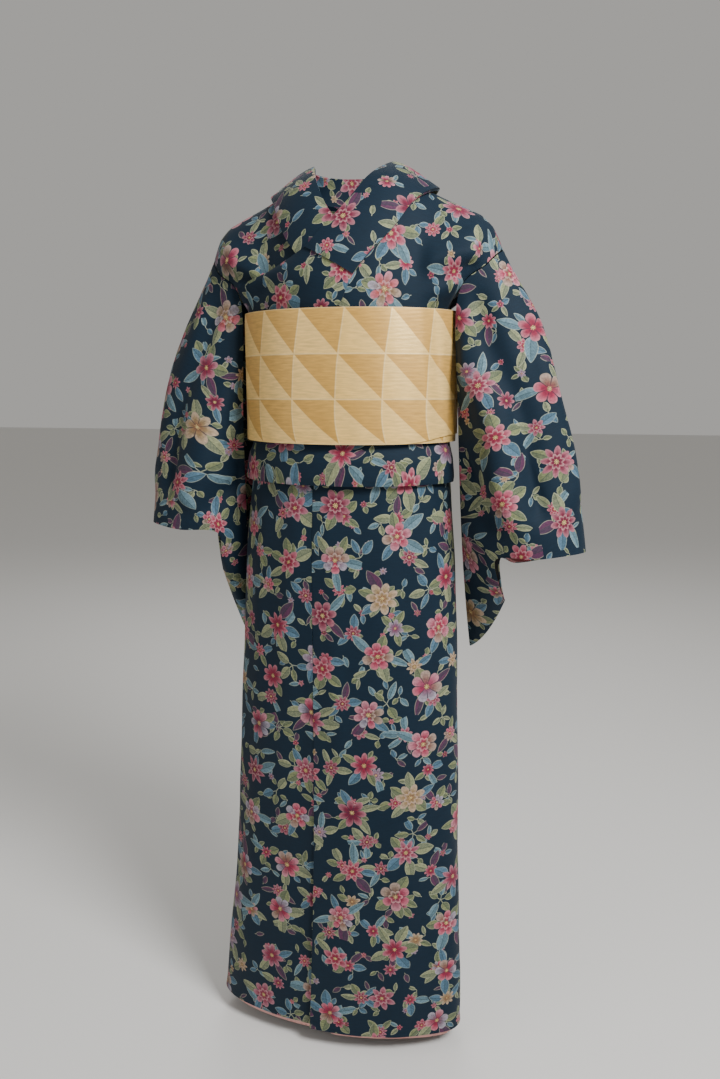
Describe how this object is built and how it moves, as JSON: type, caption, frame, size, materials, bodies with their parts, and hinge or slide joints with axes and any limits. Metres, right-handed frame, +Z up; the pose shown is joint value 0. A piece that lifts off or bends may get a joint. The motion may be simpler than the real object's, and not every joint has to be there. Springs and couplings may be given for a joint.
{
  "type": "kimono, worn form, with obi",
  "caption": "Hollow worn kimono wrapped left over right, with an overlapped collar, bag sleeves, a waist tuck and a broad wrapped belt.",
  "frame": {"origin": "mount shoulders: on the body's axis at the height of the shoulder tips, where the wearer's shoulders carry the garment", "axes": "+Z up, -Y is the wearer's front, +X is the wearer's left"},
  "size_m": [0.6154, 0.2305, 1.2326],
  "materials": {
    "printed_cloth": "matte",
    "lining_cloth": "satin",
    "obi_satin": "satin"
  },
  "bodies": {
    "root": {"skirt_back_left": "printed_cloth", "skirt_back_right": "printed_cloth", "skirt_front_right": "printed_cloth", "okumi_right": "printed_cloth", "skirt_front_left": "printed_cloth", "okumi_left": "printed_cloth", "bodice_left": "printed_cloth", "bodice_right": "printed_cloth", "collar": "printed_cloth", "over_collar": "printed_cloth", "sleeve_left": "printed_cloth", "sleeve_right": "printed_cloth", "cuff_lining_left": "lining_cloth", "cuff_lining_right": "lining_cloth", "hem_lining": "lining_cloth", "obi": "obi_satin"}
  },
  "joints": []
}
